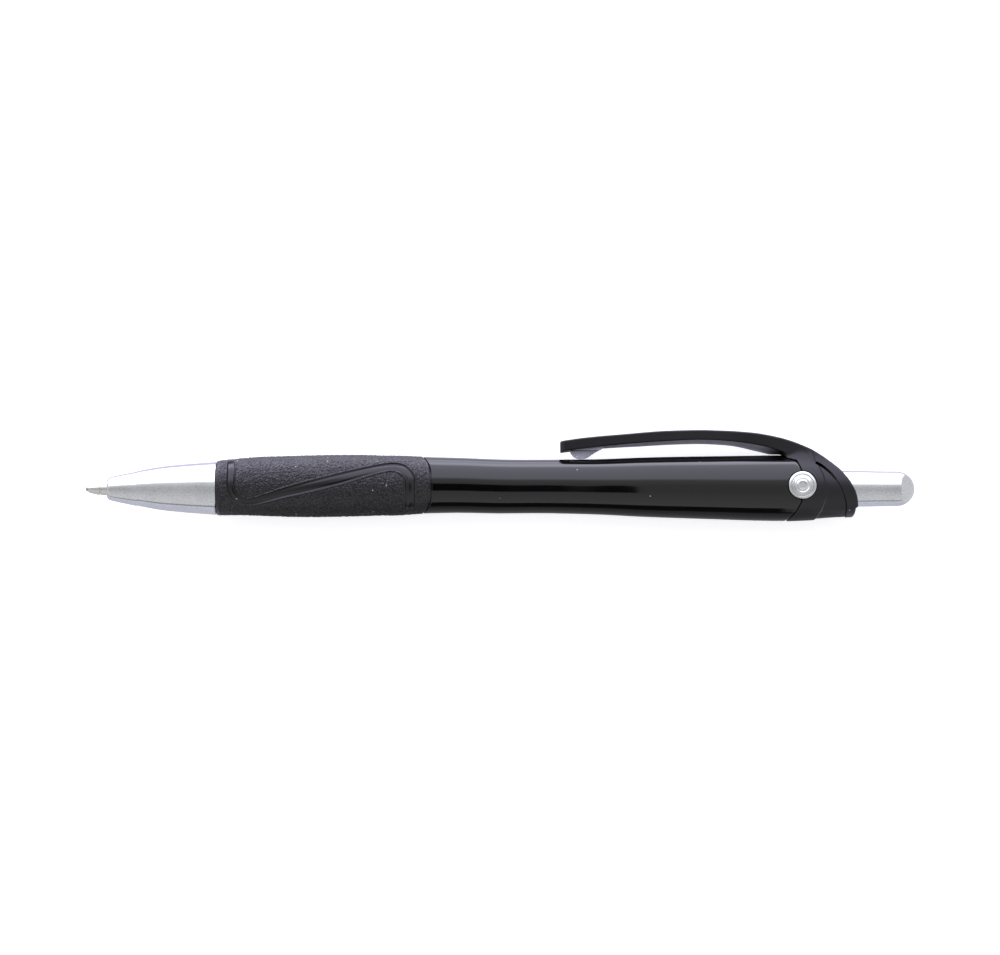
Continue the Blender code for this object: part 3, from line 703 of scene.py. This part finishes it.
def surface_nets(f, origin, step):
    s = f < 0
    nx, ny, nz = f.shape
    corners = [(i, j, k) for i in (0, 1) for j in (0, 1) for k in (0, 1)]
    some = np.zeros((nx - 1, ny - 1, nz - 1), bool)
    every = np.ones_like(some)
    for i, j, k in corners:
        c = s[i : nx - 1 + i, j : ny - 1 + j, k : nz - 1 + k]
        some |= c
        every &= c
    active = some & ~every
    index = np.full(active.shape, -1, np.int64)
    index[active] = np.arange(active.sum())
    cells = np.argwhere(active)
    vals = {c: f[cells[:, 0] + c[0], cells[:, 1] + c[1], cells[:, 2] + c[2]] for c in corners}
    total, count = np.zeros((len(cells), 3)), np.zeros(len(cells))
    for a in corners:
        for ax in range(3):
            if a[ax]:
                continue
            b = list(a)
            b[ax] = 1
            va, vb = vals[a], vals[tuple(b)]
            cross = (va < 0) != (vb < 0)
            t = np.where(cross, va / np.where(cross, va - vb, 1), 0)
            p = np.array(a, float)[None] + t[:, None] * (np.array(b, float) - np.array(a, float))[None]
            total += p * cross[:, None]
            count += cross
    V = origin + step * (cells + total / count[:, None])
    faces = []
    for ax in range(3):
        u, v = [k for k in range(3) if k != ax]
        lo = [slice(None)] * 3
        hi = [slice(None)] * 3
        lo[ax], hi[ax] = slice(0, -1), slice(1, None)
        change = s[tuple(lo)] != s[tuple(hi)]
        at = np.argwhere(change)
        ok = (at[:, u] > 0) & (at[:, v] > 0) & (at[:, u] < f.shape[u] - 1) & (at[:, v] < f.shape[v] - 1)
        at = at[ok]
        starts_in = s[tuple(at.T)]
        quad = []
        for du, dv in ((-1, -1), (0, -1), (0, 0), (-1, 0)):
            c = at.copy()
            c[:, u] += du
            c[:, v] += dv
            quad.append(index[tuple(c.T)])
        q = np.stack(quad, 1)
        turn = starts_in if ax != 1 else ~starts_in
        q[~turn] = q[~turn][:, ::-1]
        faces.append(q)
    return V, np.concatenate(faces)


def cap_piece():
    step = 0.10
    gx = np.arange(9.9, 62.2, step)
    gy = np.arange(-6.0, 10.7, step)
    gz = np.arange(-6.1, 6.1 + step, step) + step * 0.37
    f = cap_fields(*np.meshgrid(gx, gy, indexing="ij"))
    f3 = {k: v[:, :, None].astype(np.float32) for k, v in f.items()}
    D = cap_distance(f3, gx.astype(np.float32)[:, None, None], gy.astype(np.float32)[None, :, None], gz.astype(np.float32)[None, None, :])
    V, F = surface_nets(np.asarray(D), np.array([gx[0], gy[0], gz[0]]), step)

    def value(P):
        return cap_distance(cap_fields(P[:, 0], P[:, 1]), P[:, 0], P[:, 1], P[:, 2])

    def slope(P):
        e = 0.02
        g = np.empty_like(P)
        for k in range(3):
            d = np.zeros(3)
            d[k] = e
            g[:, k] = (value(P + d) - value(P - d)) / (2 * e)
        return g

    for _ in range(2):
        g = slope(V)
        move = value(V)[:, None] * g / np.maximum((g**2).sum(1), 0.2)[:, None]
        size = np.linalg.norm(move, axis=1, keepdims=True)
        V = V - move * np.minimum(1, step * 0.6 / np.maximum(size, 1e-9))
    g = slope(V)
    N = g / np.maximum(np.linalg.norm(g, axis=1, keepdims=True), 1e-9)
    fv = cap_fields(V[:, 0], V[:, 1])
    # painted reflection mask: the clip's underside strip and the nub are marked to get a lighter lavender-grey base
    # colour in place of the light they reflect
    under_side = ease((fv["side_low"] - V[:, 1] - 0.17) / 0.10) * (V[:, 0] < 49) * ease((48.5 - V[:, 0]) / 4.0)
    on_nub = ease((0.10 - fv["nub"]) / 0.08) * ease((6.75 - V[:, 1]) / 0.5) * ease((-0.12 - fv["nub"]) / 0.06)
    painted_sheen_mask = np.clip(np.where(on_nub > 0.02, on_nub * (0.33 + 0.26 * ease((6.4 - V[:, 1]) / 1.2)), 1.0 * under_side), 0, 1)
    ob = piece("cap_and_clip", V, F, SATIN, None, ["clip_cap", "clip_arm"], normals=N, mask=painted_sheen_mask)
    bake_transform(ob)
    return ob


cap_piece()

V, F = lathe(fillets([(53.4, 3.75), (53.4, 4.32, 0.1), (42.0, 4.32, 0.3), (41.4, 4.05, 0.1), (41.4, 3.75), (53.4, 3.75)])[:-1], 96)
piece("cap_spigot", V, F, SATIN, "pen_body", sharp=35)


# ------------------------------------------------------------------ badges: plain concentric rings
def badge_piece(side, name):
    seg, radius = 128, BADGE_RAD
    rho = np.concatenate([np.linspace(0.02, 1.70, 34), np.linspace(1.73, 2.30, 26), [2.33, 2.35]])
    face = 0.02 - 0.02 * (rho / 2.35) ** 2
    face = face + 0.07 * ease((rho - 1.90) / 0.12) - 0.08 * np.exp(-(((rho - 1.86) / 0.07) ** 2))
    face = face - 0.055 * np.exp(-(((rho - 1.08) / 0.07) ** 2)) + 0.045 * np.exp(-(((rho - 1.26) / 0.09) ** 2))
    face = face + 0.05 * np.exp(-(((rho - 0.78) / 0.10) ** 2)) - 0.03 * ease((0.60 - rho) / 0.25)
    face = face - 0.10 * ease((rho - 2.22) / 0.13)
    th = np.linspace(0, 2 * np.pi, seg, endpoint=False)
    RR, TT = np.meshgrid(rho, th, indexing="ij")
    px, py = BADGE_X + RR * np.cos(TT), BADGE_Y + RR * np.sin(TT)
    top = np.sqrt(np.maximum(5.72**2 - (py - 0.12) ** 2, 0)) + np.repeat(face[:, None], seg, 1)
    low = np.sqrt(np.maximum(5.05**2 - (py[-1] - 0.12) ** 2, 0))
    P = np.stack([px, py, top * side], -1)
    skirt = np.stack([px[-1], py[-1], low * side], -1)[None]
    inner = np.stack([px[20], py[20], np.full(seg, 4.6) * side], -1)[None]
    P = np.concatenate([P, skirt, inner])
    n = len(P)
    V = P.reshape(-1, 3)
    j = np.arange(seg)
    c0, c1 = P[0].mean(0), P[-1].mean(0)
    F = [grid_faces(n, seg, False), np.stack([np.full(seg, len(V)), (j + 1) % seg, j], -1), np.stack([np.full(seg, len(V) + 1), (n - 1) * seg + j, (n - 1) * seg + (j + 1) % seg], -1)]
    V = np.concatenate([V, [c0, c1]])
    return piece(name + "_disc", V, F, BADGE, "pen_body", [name], sharp=40)


badge_piece(1, "medallion_front")
badge_piece(-1, "medallion_back")

# ------------------------------------------------------------------ push button
dome = [(68.4 + 3.1 * math.sin(a), 3.0 * math.cos(a)) for a in np.linspace(math.pi / 2 - 0.02, 0, 26)]
shaft = [(x, 3.0 + 0.11 * float(ease((68.4 - x) / 9.0))) for x in np.linspace(67.9, 53.0, 24)]
skirt = fillets([(53.0, 3.11), (52.6, 3.11), (52.6, 3.50, 0.12), (51.5, 3.50, 0.12), (51.5, 2.45, 0.1), (64.6, 2.45, 0.3), (64.6, 0.02)])[1:]
V, F = lathe(dome + shaft + skirt, 112, poles=(True, True))
piece("push_button_shell", V, F, CHROME, "plunger", ["push_button"], sharp=40)


# ------------------------------------------------------------------ clicking mechanism
def splined(profile, ribs, seg=128):
    """A turned piece with ribs or grooves: each is (x0, x1, reach, half width, where the first one is, how many)."""

    def warp(X, R, TH):
        for x0, x1, reach, half, first, count in ribs:
            span = (X >= x0) & (X <= x1)
            a = (TH - first + math.pi / count) % (2 * math.pi / count) - math.pi / count
            across = np.abs(a) * np.maximum(R, 0.5)
            w = ease((half + 0.10 - across) / 0.20)
            ramp = ease((X - x0) / 0.25) * ease((x1 - X) / 0.15)
            R = np.where(span, R + (reach - R) * w * ramp, R)
        return np.stack([X, R * np.sin(TH), R * np.cos(TH)], -1)

    return lathe(dense(profile, 0.22), seg, warp, poles=(True, True))


V, F = splined(
    [(39.75, 0.02), (39.9, 0.6), (39.9, 1.35), (39.4, 2.10), (34.9, 2.10), (34.8, 2.0), (34.8, 0.80), (33.55, 0.78), (33.4, 0.62), (33.4, 0.02)],
    [(35.6, 37.6, 2.83, 0.40, math.pi / 2, 4)],
)
piece("cam_rotor_part", V, F, ACETAL, "rotor", ["cam_rotor"], sharp=40)


def crown(profile, ribs, teeth, low, reach, seg=144):
    V, F = splined(profile, ribs, seg)
    rho = np.hypot(V[:, 1], V[:, 2])
    th = np.arctan2(V[:, 1], V[:, 2])
    w = ease((low - V[:, 0]) / 0.6) * (rho > 1.0)
    saw = np.abs(((th / (2 * math.pi) * teeth) % 1.0) - 0.5) * 2
    V[:, 0] += w * reach * saw
    return V, F


V, F = crown(
    [(64.0, 0.02), (64.0, 1.9), (63.8, 2.10), (41.0, 2.10), (40.4, 2.05), (40.3, 1.95), (40.3, 1.15), (40.5, 1.0), (41.2, 0.02)],
    [(44.0, 48.0, 2.83, 0.40, math.pi / 2, 4)],
    8, 41.2, 0.45,
)
piece("thrust_sleeve_part", V, F, WHITE, "plunger", ["thrust_sleeve"], sharp=40)


def guide_piece():
    outer = [(49.8, 2.60), (49.8, 3.35), (49.7, 3.45)] + [(x, 3.45) for x in np.linspace(49.4, 38.4, 40)] + [(38.1, 3.45), (38.0, 3.35)]
    inner = [(38.0, 2.60), (38.1, 2.50)] + [(x, 2.50) for x in np.linspace(38.4, 49.4, 40)] + [(49.7, 2.50)]
    prof = outer + inner

    def warp(X, R, TH):
        a = (TH - math.pi / 2 + math.pi / 4) % (math.pi / 2) - math.pi / 4
        groove = ease((0.75 - np.abs(a) * 2.8) / 0.16)
        R = np.where(R < 2.7, R + (3.12 - R) * groove, R)
        ramp = ((TH - math.pi / 2) % (math.pi / 2)) / (math.pi / 2)
        bite = 1.0 * ease((39.5 - X) / 1.5) * (1 - ramp) * (1 - groove)
        return np.stack([X + bite, R * np.sin(TH), R * np.cos(TH)], -1)

    V, F = lathe(prof, 192, warp)
    piece("guide_sleeve_part", V, F, WHITE, "pen_body", ["guide_sleeve"], sharp=40)


guide_piece()


# ------------------------------------------------------------------ return spring, refill
def spring_piece():
    coils, radius, wire, per = 8.0, 1.95, 0.20, 40
    front, rear, closed_up, lead = -62.55, -53.15, 1.2, 0.44
    turn = np.linspace(0, coils, int(coils * per) + 1)
    x = np.interp(turn, [0, closed_up, coils - closed_up, coils], [front, front + lead, rear - lead, rear])
    k = np.ones(9) / 9
    x[6:-6] = np.convolve(x, k, "same")[6:-6]
    a = 2 * np.pi * turn
    C = np.stack([x, radius * np.cos(a), radius * np.sin(a)], 1)
    T = np.gradient(C, axis=0)
    T /= np.linalg.norm(T, axis=1, keepdims=True)
    out = np.stack([np.zeros_like(a), np.cos(a), np.sin(a)], 1)
    B = np.cross(T, out)
    B /= np.linalg.norm(B, axis=1, keepdims=True)
    out = np.cross(B, T)
    m = 12
    ph = np.linspace(0, 2 * np.pi, m, endpoint=False)
    P = C[:, None] + wire * (np.cos(ph)[None, :, None] * out[:, None] + np.sin(ph)[None, :, None] * B[:, None])
    n = len(P)
    V = P.reshape(-1, 3)
    j = np.arange(m)
    F = [grid_faces(n, m, False), np.stack([np.full(m, len(V)), j, (j + 1) % m], -1)[:, ::-1], np.stack([np.full(m, len(V) + 1), (n - 1) * m + j, (n - 1) * m + (j + 1) % m], -1)]
    V = np.concatenate([V, [P[0].mean(0), P[-1].mean(0)]])
    ob = piece("return_spring_coil", V, F, STEEL, None, ["return_spring"], sharp=60)
    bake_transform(ob)


spring_piece()

V, F = lathe(
    dense(fillets([(-50.6, 0.45), (-50.6, 0.85, 0.1), (-52.25, 0.85, 0.05), (-52.25, 2.10, 0.08), (-52.9, 2.10, 0.08), (-52.9, 1.50, 0.1), (-60.9, 1.50, 0.1), (-61.6, 1.28, 0.1), (-61.6, 1.05), (-58.8, 1.05), (-58.8, 0.45), (-50.6, 0.45)])[:-1], 1.0),
    72,
)
piece("tip_holder_part", V, F, WHITE, "refill", ["tip_holder"], sharp=40)
V, F = lathe(
    dense(
        fillets([(-59.1, 0.30), (-59.1, 0.85, 0.05), (-61.9, 0.85), (-61.9, 1.15, 0.05), (-68.72, 1.15, 0.05), (-68.82, 1.02, 0.03), (-68.98, 1.02, 0.03), (-69.08, 1.12, 0.05), (-70.55, 0.78, 0.1), (-70.95, 0.64, 0.08), (-70.97, 0.57), (-70.35, 0.57), (-70.15, 0.30), (-59.1, 0.30)])[:-1],
        0.6,
    ),
    72,
)
piece("tip_point_part", V, F, NICKEL, "refill", ["tip_point"], sharp=40)
ball = [(-71.01 + 0.485 * math.sin(a), 0.485 * math.cos(a)) for a in np.linspace(math.pi / 2 - 0.05, -math.pi / 2 + 0.05, 22)]
V, F = lathe(ball, 40, poles=(True, True))
piece("writing_ball_part", V, F, BALL, "ball", ["writing_ball"], sharp=60)
V, F = lathe(dense(fillets([(34.5, 1.08), (34.5, 1.55, 0.08), (-52.0, 1.55, 0.08), (-52.0, 1.08), (34.5, 1.08)])[:-1], 3.0), 72)
piece("ink_tube_part", V, F, TUBE, "refill", ["ink_tube"], sharp=40)
V, F = lathe(dense([(9.7, 0.02), (9.85, 0.4), (10.0, 0.86), (-50.0, 0.86), (-50.2, 0.7), (-50.2, 0.02)], 3.0), 48, poles=(True, True))
piece("ink_column_part", V, F, INK, "refill", ["ink_column"], sharp=60)
V, F = lathe(dense([(13.9, 0.02), (14.0, 0.5), (14.25, 0.86), (10.4, 0.86), (10.25, 0.5), (10.15, 0.02)], 1.0), 48, poles=(True, True))
piece("ink_follower_part", V, F, GREASE, "refill", ["ink_follower"], sharp=60)


# ------------------------------------------------------------------ floor
def plain_mesh(name, verts, faces):
    mesh = bpy.data.meshes.new(name)
    mesh.from_pydata(verts, [], faces)
    ob = bpy.data.objects.new(name, mesh)
    scene.collection.objects.link(ob)
    return ob


floor = plain_mesh("floor", [(-3, -3, 0), (3, -3, 0), (3, 3, 0), (-3, 3, 0)], [(0, 1, 2, 3)])
fmat, fnt, fb = new_material("floor_white", (0.90, 0.90, 0.91), 0.6, 0.0, 0.2)
fn = noise(fnt, coords(fnt), 40, 2)
fnt.links.new(mix_colour(fnt, fn, (0.895, 0.895, 0.90), (0.905, 0.905, 0.912)), fb.inputs["Base Color"])
fb.inputs["Emission Color"].default_value = (1, 1, 1, 1)
fb.inputs["Emission Strength"].default_value = 0.52
floor.data.materials.append(fmat)
floor.visible_glossy = False

# a black flag near the lens, seen only in reflections, as it is in the gloss of the real pen
flag = plain_mesh("lens_flag", [(-0.034, -0.083, 0.206), (0.0118, -0.083, 0.206), (0.0118, 0.003, 0.206), (0.006, 0.020, 0.206), (-0.004, 0.022, 0.206), (-0.012, 0.035, 0.206), (-0.034, 0.035, 0.206)], [(0, 1, 2, 3, 4, 5, 6)])
kmat, knt, kb = new_material("flag_black", (0.01, 0.01, 0.01), 0.9, 0.0, 0.1)
knt.links.new(mix_colour(knt, noise(knt, coords(knt), 30), (0.008, 0.008, 0.008), (0.012, 0.012, 0.012)), kb.inputs["Base Color"])
flag.data.materials.append(kmat)
for ray in ("visible_camera", "visible_diffuse", "visible_shadow", "visible_transmission", "visible_volume_scatter"):
    setattr(flag, ray, False)



def glow_card(name, verts, faces, lo, hi):
    """A dim card that only reflections see: the side and the shaded table next to the black parts."""
    ob = plain_mesh(name, verts, faces)
    mat, nt, b = new_material(name + "_surface", (0.0, 0.0, 0.0), 1.0, 0.0, 0.0)
    nt.links.new(remap(nt, noise(nt, coords(nt), 25, 2), 0.3, 0.7, lo, hi), b.inputs["Emission Strength"])
    b.inputs["Emission Color"].default_value = (0.96, 0.96, 1.0, 1)
    ob.data.materials.append(mat)
    for ray in ("visible_camera", "visible_diffuse", "visible_shadow", "visible_transmission", "visible_volume_scatter"):
        setattr(ob, ray, False)


glow_card("side_flag", [(-0.020, -0.2, 0.0), (0.058, -0.2, 0.0), (0.058, -0.2, 0.062), (-0.020, -0.2, 0.062)], [(0, 1, 2, 3)], 0.03, 0.05)
glow_card("clip_shade", [(0.0103, (AY + 4.4) * MM, 0.0001), (0.0500, (AY + 4.4) * MM, 0.0001), (0.0500, (AY + 17) * MM, 0.0001), (0.0103, (AY + 17) * MM, 0.0001)], [(0, 1, 2, 3)], 0.03, 0.05)
glow_card("shaded_table", [(-0.0485, -0.060, 0.0001), (0.0605, -0.060, 0.0001), (0.0605, 0.003, 0.0001), (-0.0485, 0.003, 0.0001)], [(0, 1, 2, 3)], 0.26, 0.33)
glow_card("far_table", [(-0.0485, -0.2, 0.0001), (0.0605, -0.2, 0.0001), (0.0605, -0.060, 0.0001), (-0.0485, -0.060, 0.0001)], [(0, 1, 2, 3)], 0.04, 0.07)

# ------------------------------------------------------------------ light
STRENGTH = 5.0
world = bpy.data.worlds.new("studio")
scene.world = world
world.use_nodes = True
wt = world.node_tree
for n in list(wt.nodes):
    wt.nodes.remove(n)
tc = wt.nodes.new("ShaderNodeTexCoord")
sep = wt.nodes.new("ShaderNodeSeparateXYZ")
wt.links.new(tc.outputs["Generated"], sep.inputs["Vector"])
at = maths(wt, "ARCTAN2", sep.outputs["Y"], sep.outputs["Z"])
turn = remap(wt, at, -math.pi, math.pi, 0.0, 1.0)
ramp = wt.nodes.new("ShaderNodeValToRGB")
wt.links.new(turn, ramp.inputs["Fac"])
bands = [
    (-180, 0.60, 2), (-130, 0.80, 2), (-93, 0.88, 2), (-90, 0.42, 0), (-84, 0.42, 0), (-81, 0.90, 0), (-50, 0.84, 0), (-30, 0.75, 0), (-10, 0.64, 0),
    (8, 0.67, 0), (26, 0.95, 0), (34, 2.35, 1), (60, 2.60, 1), (90, 2.80, 1), (96, 4.80, 1), (106, 4.80, 1), (114, 3.00, 1), (127, 2.80, 1), (134, 0.95, 3), (180, 0.88, 3),
]
els = ramp.color_ramp.elements
while len(els) > 1:
    els.remove(els[-1])
for k, (deg, level, tint) in enumerate(bands):
    pos = deg / 360 + 0.5
    e = els[0] if k == 0 else els.new(pos)
    e.position = pos
    v = level / STRENGTH
    e.color = (v * (1.0, 0.965, 0.97, 1.0)[tint], v * (1.0, 0.96, 0.99, 1.0)[tint], v * (1.02, 1.14, 1.12, 1.30)[tint], 1)
bg = wt.nodes.new("ShaderNodeBackground")
bg.inputs["Strength"].default_value = STRENGTH
# the softboxes end at either side: past them there is only the grey of the room
beside = maths(wt, "MAXIMUM", remap(wt, sep.outputs["X"], 0.36, 0.50, 0.0, 1.0, True), remap(wt, sep.outputs["X"], -0.78, -0.90, 0.0, 1.0, True))
grey = 0.90 / STRENGTH
wt.links.new(mix_colour(wt, beside, ramp.outputs["Color"], (grey, grey, grey * 1.03)), bg.inputs["Color"])
out = wt.nodes.new("ShaderNodeOutputWorld")
wt.links.new(bg.outputs["Background"], out.inputs["Surface"])

# ------------------------------------------------------------------ camera, straight above
DIST = 900.0
cam = bpy.data.cameras.new("camera")
cam.sensor_width = 36.0
cam.lens = 36.0 * DIST / 172.5
cam.clip_start, cam.clip_end = 0.01, 20
cam_ob = bpy.data.objects.new("camera", cam)
scene.collection.objects.link(cam_ob)
cam_ob.location = (0.0, (AY + 1.95) * MM, (AZ + DIST) * MM)
cam_ob.rotation_euler = (0, 0, 0)
scene.camera = cam_ob
scene.view_settings.view_transform = "Standard"
scene.view_settings.look = "None"
scene.view_settings.exposure = 0
scene.view_settings.gamma = 1
